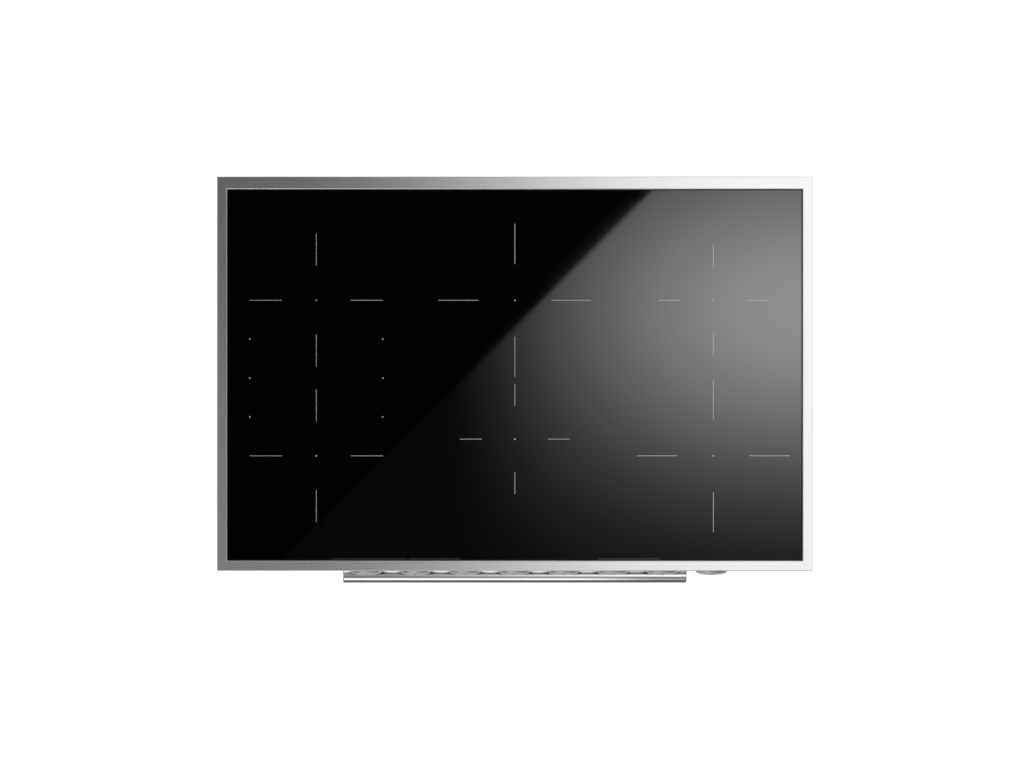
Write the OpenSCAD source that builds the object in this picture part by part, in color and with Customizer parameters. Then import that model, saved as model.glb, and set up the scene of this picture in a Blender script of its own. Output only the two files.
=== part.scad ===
// Drop-in electric induction cooktop with a front control panel, eight knobs and a hand rail.
// Millimetres. X runs to the right, +Y to the back and +Z up. The origin is on the underside of the
// base pan, below the middle of the top frame. The cooktop's front faces -Y.

/* [Overall] */
// Width of the steel top frame
frame_w = 900; // [860:10:1200]
// Depth of the steel top frame, front to back
frame_d = 596; // [580:2:720]
// Height from the underside of the pan to the top of the frame
body_h = 190; // [182:1:240]

/* [Top frame] */
// Width of the frame's face at each side
rim_side = 15; // [10:1:25]
// Width of the frame's face at the back
rim_back = 19; // [12:1:28]
// Width of the frame's face at the front
rim_front = 15.5; // [12:0.5:24]
// Height of the frame's skirt
skirt_h = 28; // [20:1:36]
// Thickness of the stainless steel sheet
sheet_t = 1.5; // [1:0.1:2]
// Radius of the frame's outer top edge
edge_r = 1.2; // [0.5:0.1:2]
// Chamfer round the frame's inner top edge
inner_chamfer = 1; // [0.2:0.1:1.4]
// Width of the ledge that carries the glass
ledge_w = 12; // [8:1:14]
// Width of the skirt's return flange, which rests on the worktop
flange_w = 12; // [8:1:14]
// How far the frame overhangs the control panel
overhang = 38; // [25:1:45]

/* [Glass] */
// Thickness of the glass-ceramic plate
glass_t = 4; // [3:0.5:6]
// Drop of the glass below the frame's face
glass_drop = 0.8; // [0.2:0.1:1.5]
// Gap between the glass and the frame, filled with silicone
glass_gap = 1; // [0.6:0.1:2]
// Bevel round the top edge of the glass
glass_bevel = 1; // [0.2:0.1:1.5]
// Thickness of the silicone bed under the glass
seal_t = 1; // [0.5:0.1:2]

/* [Cooking zones] */
// Radius of a large zone
large_zone_r = 115.5; // [95:0.25:120]
// Radius of each half of the bridged zone
bridge_zone_r = 100.5; // [90:0.5:104]
// Radius of a small zone
small_zone_r = 83; // [70:0.5:90]
// From the edge of a large zone to the side of the glass opening
zone_side_margin = 19.5; // [16:0.5:40]
// From the edge of a large zone to the back of the glass opening
zone_back_margin = 52.5; // [45:0.5:70]
// From the edge of a large zone to the front of the glass opening
zone_front_margin = 43; // [38:0.5:60]
// Gap between the two centre zones
centre_zone_gap = 11.3; // [8:0.1:30]
// Width of a printed line
mark_w = 0.9; // [0.5:0.1:2]
// Diameter of a printed dot
mark_dot_d = 2.4; // [1:0.1:4]
// Thickness of the enamel print
mark_t = 0.12; // [0.05:0.01:0.2]
// Where a zone's lines start, from its centre, for the large and small zones
mark_start = [55, 50]; // [40:1:60]

/* [Induction coils] */
// Diameter of the litz wire
wire_d = 4; // [3:0.1:5]
// Radius of the opening inside a winding
winding_hole_r = 26; // [24:1:32]
// How far a winding stays inside its zone
winding_margin = 9.5; // [6:0.5:14]
// Height of a coil carrier
carrier_h = 10; // [9:0.5:12]
// Thickness of the mica disc between a coil and the glass
mica_t = 0.5; // [0.3:0.1:1]
// Free height of the leaf springs under each coil
spring_h = 11.5; // [9:0.5:14]
// Width of a ferrite bar
ferrite_w = 10; // [8:1:12]
// Height of a ferrite bar
ferrite_h = 5; // [3:0.5:5.5]

/* [Base pan] */
// Thickness of the pan's galvanised sheet
pan_t = 1.2; // [0.8:0.1:2]
// How far the pan stays inside the glass opening
pan_inset = 7; // [5:0.5:9]
// Thickness of the aluminium coil tray
tray_t = 1.2; // [1:0.1:1.5]
// Gap between the coil tray and the pan's walls
tray_gap = 1.3; // [1:0.1:2]
// From the pan's fixing holes to its sides
fixing_inset = 38; // [34:1:44]
// Spacing of the pan's fixing holes, front to back
fixing_y = 420; // [400:10:440]
// Diameter of the pan's fixing holes
fixing_d = 5.5; // [4:0.5:6.5]

/* [Knobs] */
// Number of knobs
knob_count = 8; // [8:1:8]
// Distance from one knob to the next
knob_pitch = 75; // [70:1:80]
// Place of the first knob from the middle of the cooktop
knob_first_x = -226; // [-235:1:-180]
// Diameter of a knob
knob_d = 50; // [40:1:60]
// From the panel's face to the crown of a knob
knob_reach = 46; // [40:1:50]
// Thickness of a knob's wall
knob_wall = 2.5; // [2:0.1:4]
// Radius of a knob's shoulder
knob_shoulder_r = 6.5; // [2:0.5:8]
// Radius of a knob's crowned face
knob_crown_r = 90; // [60:5:300]
// Diameter of the knob shafts
shaft_d = 6; // [5:0.1:8]
// Height of a knob's axis above the underside of the pan
knob_z = 114; // [108:1:118]

/* [Hand rail] */
// Length of the rail
rail_len = 525; // [480:5:700]
// Diameter of the rail
rail_d = 24; // [18:1:30]
// From the panel's face to the rail's axis
rail_reach = 47.5; // [40:0.5:52]
// Height of the rail's axis above the underside of the pan
rail_z = 38; // [30:1:44]
// Wall of the rail's tube
rail_wall = 2; // [1.5:0.1:3]
// Distance between the rail's two posts
post_span = 440; // [300:10:450]
// Diameter of a post
post_d = 16; // [12:1:20]

/* [Hidden] */
$fn = 64;
free = 0.05;      // radial clearance of a turning or screwed fit
fit = 0.3;        // clearance of a loose fit
past = 1;         // how far a cut runs past a face

// Planes of the top, from the frame's face down
skirt_bottom = body_h - skirt_h;
glass_top = body_h - glass_drop;
glass_bottom = glass_top - glass_t;
ledge_top = glass_bottom - seal_t;
ledge_bottom = ledge_top - sheet_t;

// Opening of the frame
open_w = frame_w - 2 * rim_side;
open_front = -frame_d / 2 + rim_front;
open_back = frame_d / 2 - rim_back;

// Glass plate
glass_x = open_w / 2 - glass_gap;
glass_front = open_front + glass_gap;
glass_back = open_back - glass_gap;

// Face of the control panel
face_y = -frame_d / 2 + overhang;

// Base pan
pan_x = open_w / 2 - pan_inset;
pan_front = face_y + sheet_t;
pan_back = open_back - pan_inset;
pan_top = ledge_bottom - tray_t;
pan_flange = 10;
pan_lip = 12;

// Control panel
panel_top = skirt_bottom - 0.5;
panel_x = frame_w / 2 - 2;
panel_return = 20;
panel_foot_x = pan_x - 20;
nosing_back = face_y + 10;      // the frame's front return runs this far behind the panel's face

// Coil tray and coils
mica_bottom = glass_bottom - mica_t;
winding_bottom = mica_bottom - wire_d;
carrier_bottom = winding_bottom - carrier_h;
tray_top = carrier_bottom - spring_h;
tray_x = pan_x - pan_t - tray_gap;
tray_front = nosing_back + 2;
tray_back = pan_back - pan_t - tray_gap;
tray_flange_x = pan_x + pan_flange - 2;
tray_flange_front = open_front + 3;
tray_flange_back = pan_back + pan_flange - 2;
wire_pitch = wire_d * 0.975;    // neighbouring turns bite slightly, so a winding is one solid
hub_r = winding_hole_r - 4;
plate_t = 3;
rib_w = ferrite_w + 4;
ferrite_pocket = carrier_h - plate_t - 1;
sensor_r = 4.8;

// Zone centres and radii: back left, front left, back centre, front centre, back right, front right
zone_x = open_w / 2 - zone_side_margin - large_zone_r;
zone_back = open_back - zone_back_margin - large_zone_r;
zone_front = open_front + zone_front_margin + large_zone_r;
zone_mid = zone_back - large_zone_r - centre_zone_gap - small_zone_r;
ZONES = [
    [-zone_x, zone_back, bridge_zone_r],
    [-zone_x, zone_front, bridge_zone_r],
    [0, zone_back, large_zone_r],
    [0, zone_mid, small_zone_r],
    [zone_x, zone_back, small_zone_r],
    [zone_x, zone_front, large_zone_r],
];
ZONE_NAMES = ["back_left", "front_left", "back_centre", "front_centre", "back_right", "front_right"];

// Knob fittings, measured outwards from the panel's face
bezel_d = knob_d + 12;
bezel_h = 4;
knob_back = bezel_h + 1;
shaft_out = 30;
shaft_flat = shaft_d / 2 - 0.8;     // from the shaft's axis to its flat
bush_d = shaft_d + 3;
bush_out = 3;
board_back = 14;        // depth of the control board's face behind the panel's face
encoder_w = 24;
encoder_front = 3;
shaft_in = board_back - 1;

// Display window
display_w = 110;
display_h = 34;
display_x = knob_first_x - 120;
display_lip = 3;

// Electronics inside the pan
board_z = 16;
board_t = 1.6;
board_w = 220;
board_d = 250;
board_x = 272;          // distance between the power boards
board_y = 70;
sink_w = 80;
sink_h = 40;
sink_base = 5;
sink_x = -55;           // heat sink's centre from the board's centre
fan_w = 92;
fan_d = 25;
fan_x = 140;
fan_y = -100;
fan_r = 42;
filter_x = -250;
filter_y = pan_back - 39;
filter_w = 180;
filter_d = 50;
terminal_x = -pan_x + 36;
terminal_y = pan_back - 34;
gland_z = 60;
gland_r = 6.5;
gland_thread_r = 10;

// ---------- shapes that several pieces share ----------

// A box from its lowest to its highest corner
module block(lo, hi) {
    translate(lo) cube(hi - lo);
}

// What two profiles share when one runs front to back and the other from side to side.
// It gives mitred corners to an edge that runs all round.
module two_way(w, d) {
    intersection() {
        translate([0, d / 2, 0]) rotate([90, 0, 0]) linear_extrude(d) children(0);
        translate([-w / 2, 0, 0]) rotate([90, 0, 90]) linear_extrude(w) children(1);
    }
}

// Upright section with rounded top corners
module rounded_top(w, h, r) {
    translate([-w / 2, 0]) square([w, h - r]);
    translate([-w / 2 + r, 0]) square([w - 2 * r, h]);
    for (side = [-1, 1]) translate([side * (w / 2 - r), h - r]) circle(r);
}

// Upright section with bevelled top corners, or flared ones where c is negative
module bevelled_top(w, h, c) {
    polygon([
        [-w / 2, 0], [w / 2, 0], [w / 2, h - abs(c)],
        [w / 2 - c, h], [-w / 2 + c, h], [-w / 2, h - abs(c)],
    ]);
}

// Rectangle with round corners
module round_rect(w, h, r) {
    square([w - 2 * r, h], center = true);
    square([w, h - 2 * r], center = true);
    for (x = [-1, 1], y = [-1, 1]) translate([x * (w / 2 - r), y * (h / 2 - r)]) circle(r);
}

// Puts a piece on the panel's face: its +Z points out at the user and its +Y points up
module on_panel(x, z) {
    translate([x, face_y, z]) rotate([90, 0, 0]) children();
}

function knob_x(i) = knob_first_x + i * knob_pitch;
function winding_r(zone) = zone[2] - winding_margin;
function turns(zone) = floor((winding_r(zone) - winding_hole_r - wire_d) / wire_pitch) + 1;
function rib_count(zone) = zone[2] < 90 ? 6 : 8;

// Screws that hold the pan's and the tray's flanges under the glass ledge
flange_mid_x = pan_x + pan_flange / 2 - 1;
flange_mid_y = pan_back + pan_flange / 2 - 1;
flange_screw_r = 1.75;
function flange_screws() = concat(
    [for (side = [-1, 1], y = [-170, 20, 210]) [side * flange_mid_x, y]],
    [for (x = [-330, -110, 110, 330]) [x, flange_mid_y]]
);
foot_screw_r = 2;
foot_screws = [for (x = [-350, -120, 120, 350]) [x, pan_front + panel_return / 2]];

// ---------- top ----------

module flange_screw_holes(r) {
    for (p = flange_screws()) translate([p.x, p.y, pan_top - 10]) cylinder(r = r, h = 14);
}

// Folded steel frame: face, outer skirt with its return flange, inner wall and glass ledge
module top_frame() {
    open_y = (open_front + open_back) / 2;
    open_d = open_back - open_front;
    rim_h = body_h - ledge_top;
    front_relief = 0.5; // the front clears a worktop that the sides and back lie on
    front_margin = 2;
    color("silver") difference() {
        union() {
            difference() {
                translate([0, 0, skirt_bottom]) two_way(frame_w, frame_d) {
                    rounded_top(frame_w, skirt_h, edge_r);
                    rounded_top(frame_d, skirt_h, edge_r);
                }
                block(
                    [-frame_w / 2 + sheet_t, -frame_d / 2 + sheet_t, skirt_bottom + sheet_t],
                    [frame_w / 2 - sheet_t, frame_d / 2 - sheet_t, body_h - sheet_t]
                );
            }
            block(
                [-open_w / 2 - sheet_t, open_front - sheet_t, ledge_bottom],
                [open_w / 2 + sheet_t, open_back + sheet_t, body_h - sheet_t / 2]
            );
        }
        translate([0, open_y, ledge_top]) two_way(open_w + 4, open_d + 4) {
            bevelled_top(open_w, rim_h, -inner_chamfer);
            bevelled_top(open_d, rim_h, -inner_chamfer);
        }
        block(
            [-open_w / 2 + ledge_w, open_front + ledge_w, ledge_bottom - past],
            [open_w / 2 - ledge_w, open_back - ledge_w, ledge_top + past]
        );
        block(
            [-frame_w / 2 + flange_w, nosing_back, skirt_bottom - past],
            [frame_w / 2 - flange_w, frame_d / 2 - flange_w, skirt_bottom + sheet_t + past]
        );
        block(
            [-frame_w / 2 - past, -frame_d / 2 - past, skirt_bottom - past],
            [frame_w / 2 + past, face_y + panel_return + front_margin, skirt_bottom + front_relief]
        );
        flange_screw_holes(flange_screw_r + free);
    }
}

module glass_top() {
    color([0.03, 0.03, 0.035]) translate([0, (glass_front + glass_back) / 2, glass_bottom])
        two_way(2 * glass_x, glass_back - glass_front) {
            bevelled_top(2 * glass_x, glass_t, glass_bevel);
            bevelled_top(glass_back - glass_front, glass_t, glass_bevel);
        }
}

// Silicone: a bed under the edge of the glass, and the bead that fills the gap round it
module glass_seal() {
    bead_drop = glass_bevel + 0.2;
    bed_w = ledge_w - 2;
    color([0.12, 0.12, 0.12]) difference() {
        block([-open_w / 2, open_front, ledge_top], [open_w / 2, open_back, glass_top - bead_drop]);
        block([-glass_x, glass_front, glass_bottom], [glass_x, glass_back, glass_top + past]);
        block(
            [-open_w / 2 + bed_w, open_front + bed_w, ledge_top - past],
            [open_w / 2 - bed_w, open_back - bed_w, glass_bottom + past]
        );
    }
}

// Four lines that point at a zone's centre, and the dot in its middle
module zone_cross(r, start) {
    for (turn = [0:3]) rotate(turn * 90) translate([start, -mark_w / 2, 0]) cube([r - start, mark_w, mark_t]);
    cylinder(d = mark_dot_d, h = mark_t);
}

module zone_print() {
    bridge_step = (zone_back - zone_front) / 4;
    edge_print_w = 1.3;
    edge_print_y = glass_front + glass_bevel + 0.1;
    color([0.8, 0.8, 0.8]) translate([0, 0, glass_top]) {
        for (z = ZONES) translate([z.x, z.y, 0])
            zone_cross(z[2], z[2] == large_zone_r ? mark_start[0] : z[2] == small_zone_r ? mark_start[1] : 52);
        for (side = [-1, 1], k = [1:3])
            translate([-zone_x + side * bridge_zone_r, zone_front + k * bridge_step, 0])
                cylinder(d = mark_dot_d, h = mark_t);
        for (span = [[-276, -163], [-160, -82], [126, 219]])
            block([span[0], edge_print_y, 0], [span[1], edge_print_y + edge_print_w, mark_t]);
    }
}

// ---------- induction coils ----------

// Flat litz winding: turns side by side
module coil(zone) {
    color([0.72, 0.42, 0.2]) translate([zone.x, zone.y, winding_bottom + wire_d / 2])
        rotate_extrude($fn = 128)
            for (k = [0:turns(zone) - 1])
                translate([winding_hole_r + wire_d / 2 + k * wire_pitch, 0]) circle(d = wire_d, $fn = 24);
}

// Moulded carrier: plate with air holes, hub, rim and hollow ribs that hold the ferrite bars
module coil_carrier(zone) {
    r = winding_r(zone) + 3;
    n = rib_count(zone);
    air_r = 8;
    color([0.85, 0.82, 0.74]) translate([zone.x, zone.y, carrier_bottom]) difference() {
        union() {
            translate([0, 0, carrier_h - plate_t]) cylinder(r = r, h = plate_t);
            cylinder(r = hub_r, h = carrier_h);
            difference() {
                cylinder(r = r, h = carrier_h);
                translate([0, 0, -past]) cylinder(r = r - 3, h = carrier_h);
            }
            for (k = [0:n - 1]) rotate(k * 360 / n)
                translate([hub_r - 3, -rib_w / 2, 0]) cube([r - hub_r + 1, rib_w, carrier_h - past]);
        }
        for (k = [0:n - 1]) rotate(k * 360 / n)
            translate([hub_r + 2, -ferrite_w / 2 - 0.2, -past])
                cube([r - 5 - hub_r, ferrite_w + 0.4, ferrite_pocket + past]);
        for (k = [0:n - 1]) rotate((k + 0.5) * 360 / n)
            translate([(r + hub_r) / 2, 0, -past]) cylinder(r = air_r, h = carrier_h + 2 * past);
        translate([0, 0, -past]) cylinder(r = sensor_r + 0.2, h = carrier_h + 2 * past);
    }
}

module ferrite_bars() {
    color([0.2, 0.2, 0.22]) for (zone = ZONES) {
        r = winding_r(zone) + 3;
        n = rib_count(zone);
        translate([zone.x, zone.y, carrier_bottom + ferrite_pocket - ferrite_h])
            for (k = [0:n - 1]) rotate(k * 360 / n)
                translate([hub_r + 2.4, -ferrite_w / 2, 0]) cube([r - 5.8 - hub_r, ferrite_w, ferrite_h]);
    }
}

module mica_discs() {
    color([0.78, 0.72, 0.58]) for (zone = ZONES) translate([zone.x, zone.y, mica_bottom]) difference() {
        cylinder(r = winding_r(zone) + 2, h = mica_t);
        translate([0, 0, -past]) cylinder(r = sensor_r, h = mica_t + 2 * past);
    }
}

// Temperature sensor in each hub: body, collar that sits on the hub, and the tip that touches the glass
module coil_sensors() {
    collar_r = 9;
    collar_h = 1.5;
    tip_r = 3.5;
    color([0.9, 0.9, 0.86]) for (zone = ZONES) translate([zone.x, zone.y, 0]) {
        translate([0, 0, carrier_bottom - 2]) cylinder(r = sensor_r, h = carrier_h + 2);
        translate([0, 0, winding_bottom]) cylinder(r = collar_r, h = collar_h);
        translate([0, 0, winding_bottom]) cylinder(r = tip_r, h = glass_bottom - winding_bottom);
    }
}

// Two arched leaf springs under each hub press its coil against the glass
module coil_springs() {
    strip_t = 0.6;
    strip_w = 9;
    half_span = 34;
    arch_r = (half_span * half_span + spring_h * spring_h) / (2 * spring_h);
    color([0.6, 0.62, 0.65]) for (zone = ZONES, side = [-1, 1])
        translate([zone.x, zone.y + side * 11 + strip_w / 2, carrier_bottom - arch_r]) rotate([90, 0, 0])
            linear_extrude(strip_w) intersection() {
                difference() {
                    circle(arch_r, $fn = 128);
                    circle(arch_r - strip_t, $fn = 128);
                }
                translate([-half_span, arch_r - spring_h]) square([2 * half_span, spring_h + past]);
            }
}

// Aluminium tray that hangs from the flanges and carries the coils
module coil_tray() {
    wire_hole_r = 14;
    tray_bottom = tray_top - tray_t;
    color([0.8, 0.81, 0.83]) difference() {
        union() {
            block([-tray_x, tray_front, tray_bottom], [tray_x, tray_back, ledge_bottom]);
            block(
                [-tray_flange_x, tray_flange_front, ledge_bottom - tray_t],
                [tray_flange_x, tray_flange_back, ledge_bottom]
            );
        }
        block([-tray_x + tray_t, tray_front + tray_t, tray_top], [tray_x - tray_t, tray_back - tray_t, body_h]);
        for (zone = ZONES) translate([zone.x, zone.y, tray_bottom - past]) {
            cylinder(r = 7, h = tray_t + 2 * past);
            translate([winding_r(zone) * 0.6, winding_r(zone) * 0.6, 0])
                cylinder(r = wire_hole_r, h = tray_t + 2 * past);
        }
        flange_screw_holes(flange_screw_r + free);
    }
}

// ---------- base ----------

// A row of equal slots
module slots(count, step, size, along) {
    for (k = [0:count - 1]) translate(along * (k - (count - 1) / 2) * step - size / 2) cube(size);
}

// Galvanised tray with a flange at the sides and back, lips at its open front, and air slots
module bottom_pan() {
    notch_y = nosing_back + 1;
    lip_low = 10;
    lip_high = panel_top - 6;
    color([0.72, 0.74, 0.76]) difference() {
        union() {
            difference() {
                block([-pan_x, pan_front, 0], [pan_x, pan_back, pan_top]);
                block(
                    [-pan_x + pan_t, pan_front - past, pan_t],
                    [pan_x - pan_t, pan_back - pan_t, pan_top + past]
                );
            }
            difference() {
                block(
                    [-pan_x - pan_flange, notch_y, pan_top - pan_t],
                    [pan_x + pan_flange, pan_back + pan_flange, pan_top]
                );
                block(
                    [-pan_x + pan_t, notch_y - past, pan_top - pan_t - past],
                    [pan_x - pan_t, pan_back - pan_t, pan_top + past]
                );
            }
            for (side = [-1, 1]) scale_side(side)
                block([pan_x - pan_t - pan_lip, pan_front, lip_low], [pan_x, pan_front + pan_t, lip_high]);
        }
        block([-pan_x - past, pan_front - past, panel_top], [pan_x + past, notch_y, pan_top + past]);
        flange_screw_holes(flange_screw_r + free);
        for (p = foot_screws) translate([p.x, p.y, -past]) cylinder(r = foot_screw_r + free, h = 10);
        for (x = [-1, 1], y = [-1, 1])
            translate([x * (pan_x - fixing_inset), y * fixing_y / 2, -past]) cylinder(d = fixing_d, h = 10);
        // air in, in front of each fan
        for (side = [-1, 1]) translate([side * fan_x, fan_y - 68, pan_t / 2])
            slots(9, 10, [70, 4, 10], [0, 1, 0]);
        // air out, at the back and at both sides
        for (side = [-1, 0, 1]) translate([side * 180, pan_back, 110]) slots(13, 9, [4, 10, 46], [1, 0, 0]);
        for (side = [-1, 1]) translate([side * pan_x, 120, 90]) slots(9, 9, [10, 4, 46], [0, 1, 0]);
        translate([terminal_x, pan_back - 5, gland_z]) rotate([-90, 0, 0])
            cylinder(r = gland_thread_r + free, h = 10);
    }
}

// A piece and, for side -1, its mirror image across the middle
module scale_side(side) {
    if (side < 0) mirror([1, 0, 0]) children();
    else children();
}

// Bent spring strips that grip the sides of the worktop's cut-out
module side_springs() {
    strip_t = 0.8;
    strip_w = 25;
    bulge = 7;
    low = 82;
    high = 152;
    color([0.62, 0.64, 0.67]) for (side = [-1, 1], y = [-150, 215]) scale_side(side)
        translate([pan_x, y + strip_w / 2, 0]) rotate([90, 0, 0]) linear_extrude(strip_w) polygon([
            [0, high], [strip_t, high], [strip_t, high - 14], [bulge, (high + low) / 2 - 4],
            [strip_t, low], [0, low], [bulge - strip_t, (high + low) / 2 - 4], [0, high - 14],
        ]);
}

// ---------- control panel ----------

// Folded steel panel with returns at the sides and foot, and studs for the control board
module control_panel() {
    stud_r = 2.5;
    color([0.75, 0.75, 0.76]) difference() {
        union() {
            block([-panel_x, face_y, pan_t], [panel_x, pan_front, panel_top]);
            for (side = [-1, 1]) scale_side(side)
                block([panel_x - sheet_t, face_y, pan_t], [panel_x, face_y + panel_return, panel_top]);
            block([-panel_foot_x, face_y, pan_t], [panel_foot_x, pan_front + panel_return, pan_t + sheet_t]);
            for (x = board_studs(), z = [-1, 1]) on_panel(x, knob_z + z * 18)
                translate([0, 0, -board_back]) cylinder(r = stud_r, h = board_back);
        }
        for (i = [0:knob_count - 1]) on_panel(knob_x(i), knob_z)
            translate([0, 0, -5]) cylinder(d = bush_d + fit, h = 10);
        for (side = [-1, 1]) on_panel(side * post_span / 2, rail_z)
            translate([0, 0, -5]) cylinder(r = 3.2, h = 10);
        on_panel(display_x, knob_z) translate([0, 0, -5])
            linear_extrude(10) round_rect(display_w + fit, display_h + fit, 4);
        for (p = foot_screws) translate([p.x, p.y, 0]) cylinder(r = foot_screw_r + free, h = 10);
    }
}

function board_studs() = [
    display_x + display_w / 2 + 15,
    for (i = [1:3:knob_count - 1]) knob_x(i) + knob_pitch / 2,
];

// Smoked lens, flush in the panel, with a lip behind it
module display_window() {
    color([0.05, 0.05, 0.06]) on_panel(display_x, knob_z) {
        translate([0, 0, -sheet_t]) linear_extrude(sheet_t + 0.3) round_rect(display_w, display_h, 4);
        translate([0, 0, -sheet_t - 1.5])
            linear_extrude(1.5) round_rect(display_w + 2 * display_lip, display_h + 2 * display_lip, 4);
    }
}

// Outline of a knob from its axis out: straight side, and a shoulder that runs smoothly into the crown
module knob_section(r, top) {
    crown_y = top - knob_crown_r;
    reach = knob_crown_r - knob_shoulder_r;
    lean = asin((r - knob_shoulder_r) / reach);
    shoulder_y = crown_y + reach * cos(lean);
    translate([0, knob_back]) square([r, shoulder_y - knob_back]);
    translate([r - knob_shoulder_r, shoulder_y]) circle(knob_shoulder_r);
    intersection() {
        translate([0, knob_back]) square([knob_crown_r * sin(lean), top]);
        translate([0, crown_y]) circle(knob_crown_r, $fn = 256);
    }
}

// Turned metal cap: hollow behind, with a boss for the shaft and a groove that points at the setting
module knob(i) {
    boss_r = shaft_d / 2 + 4;
    hollow_top = knob_reach - 10;
    pointer_w = 2;
    pointer_depth = 1.2;
    color([0.78, 0.78, 0.79]) on_panel(knob_x(i), knob_z) difference() {
        rotate_extrude($fn = 96) difference() {
            knob_section(knob_d / 2, knob_reach);
            translate([-knob_d, 0]) square([knob_d, knob_reach + past]);
            translate([boss_r, knob_back - past])
                square([knob_d / 2 - knob_wall - boss_r, hollow_top - knob_back + past]);
        }
        translate([0, 0, knob_back - past]) intersection() {
            cylinder(r = shaft_d / 2 + free / 2, h = shaft_out - knob_back + 2);
            translate([-shaft_d, -shaft_d, 0]) cube([2 * shaft_d, shaft_d + shaft_flat + free, 50]);
        }
        translate([-pointer_w / 2, 6, knob_reach - pointer_depth - 1]) cube([pointer_w, knob_d / 2 - 13, 10]);
    }
}

// Steel shaft: round where it turns in the encoder's bush, with a flat where the knob grips it
module knob_shaft(i) {
    color([0.55, 0.56, 0.58]) on_panel(knob_x(i), knob_z) difference() {
        translate([0, 0, -shaft_in]) cylinder(d = shaft_d, h = shaft_in + shaft_out);
        translate([-shaft_d, shaft_flat, knob_back - 0.5]) cube([2 * shaft_d, shaft_d, shaft_out]);
    }
}

module knob_bezels() {
    rounding = 1.5;
    color([0.2, 0.2, 0.21]) for (i = [0:knob_count - 1]) on_panel(knob_x(i), knob_z)
        rotate_extrude($fn = 96) {
            translate([12, 0]) square([bezel_d / 2 - 12, bezel_h - rounding]);
            translate([12, 0]) square([bezel_d / 2 - 12 - rounding, bezel_h]);
            translate([bezel_d / 2 - rounding, bezel_h - rounding]) circle(rounding);
        }
}

module encoder_bodies() {
    color([0.15, 0.25, 0.2]) for (i = [0:knob_count - 1]) on_panel(knob_x(i), knob_z) difference() {
        union() {
            block(
                [-encoder_w / 2, -encoder_w / 2, -board_back],
                [encoder_w / 2, encoder_w / 2, -encoder_front]
            );
            translate([0, 0, -encoder_front]) cylinder(d = bush_d, h = encoder_front + bush_out);
        }
        translate([0, 0, -board_back - past])
            cylinder(d = shaft_d + 2 * free, h = board_back + bush_out + 2 * past);
    }
}

module control_board() {
    board_h = 46;
    left = display_x - display_w / 2 - 4;
    right = knob_x(knob_count - 1) + 46;
    color([0.1, 0.35, 0.2]) {
        on_panel(0, knob_z) block([left, -board_h / 2, -board_back - board_t], [right, board_h / 2, -board_back]);
        // display module behind the window
        on_panel(display_x, knob_z) block([-45, -13, -board_back], [45, 13, -5]);
        for (x = [display_x + 90, knob_x(2) + knob_pitch / 2, knob_x(5) + knob_pitch / 2])
            on_panel(x, knob_z) block([-12, -8, -board_back - board_t - 6], [12, 8, -board_back - board_t]);
    }
}

// ---------- hand rail ----------

module along_rail(x) {
    translate([x, face_y - rail_reach, rail_z]) rotate([0, 90, 0]) children();
}

cap_t = 4;

module rail_tube() {
    tube_len = rail_len - 2 * cap_t;
    color([0.8, 0.8, 0.81]) difference() {
        along_rail(-tube_len / 2) difference() {
            cylinder(d = rail_d, h = tube_len, $fn = 96);
            translate([0, 0, -past]) cylinder(d = rail_d - 2 * rail_wall, h = tube_len + 2 * past);
        }
        for (side = [-1, 1]) on_panel(side * post_span / 2, rail_z) cylinder(r = 3 + free, h = rail_reach);
    }
}

// Turned plugs with a rounded rim that close the tube
module rail_end_caps() {
    rounding = 2;
    plug_len = 10;
    color([0.8, 0.8, 0.81]) for (side = [-1, 1]) scale_side(side)
        along_rail(rail_len / 2 - cap_t) rotate_extrude($fn = 96) {
            translate([0, -plug_len]) square([rail_d / 2 - rail_wall - free, plug_len]);
            square([rail_d / 2, cap_t - rounding]);
            square([rail_d / 2 - rounding, cap_t]);
            translate([rail_d / 2 - rounding, cap_t - rounding]) circle(rounding);
        }
}

module rail_posts() {
    foot_d = post_d + 6;
    color([0.8, 0.8, 0.81]) difference() {
        for (side = [-1, 1]) on_panel(side * post_span / 2, rail_z) {
            cylinder(d = foot_d, h = 3);
            cylinder(d = post_d, h = rail_reach - rail_d / 4);
        }
        along_rail(-rail_len / 2) cylinder(r = rail_d / 2 + free, h = rail_len, $fn = 96);
        for (side = [-1, 1]) on_panel(side * post_span / 2, rail_z)
            translate([0, 0, -past]) cylinder(r = 3 + free, h = rail_reach);
    }
}

module rail_screws() {
    reach = rail_reach - rail_d / 2 + rail_wall + 1;
    color([0.6, 0.6, 0.62]) for (side = [-1, 1]) on_panel(side * post_span / 2, rail_z) {
        translate([0, 0, -sheet_t - 4]) difference() {
            cylinder(r = 5, h = 4);
            translate([0, 0, -past]) cylinder(r = 2.5, h = 3, $fn = 6);
        }
        translate([0, 0, -sheet_t - 1]) cylinder(r = 3, h = reach + sheet_t + 1);
    }
}

// ---------- electronics ----------

module each_board() {
    for (k = [-1, 0, 1]) translate([k * board_x, board_y, 0]) children();
}

module power_boards() {
    color([0.12, 0.4, 0.22]) each_board()
        block([-board_w / 2, -board_d / 2, board_z], [board_w / 2, board_d / 2, board_z + board_t]);
}

module heat_sinks() {
    sink_d = board_d - 30;
    fins = 9;
    fin_t = 2;
    color([0.75, 0.76, 0.78]) each_board() translate([sink_x, 0, board_z + board_t]) {
        block([-sink_w / 2, -sink_d / 2, 0], [sink_w / 2, sink_d / 2, sink_base]);
        for (k = [0:fins - 1]) translate([-sink_w / 2 + k * (sink_w - fin_t) / (fins - 1), -sink_d / 2, 0])
            cube([fin_t, sink_d, sink_h]);
    }
}

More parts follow.
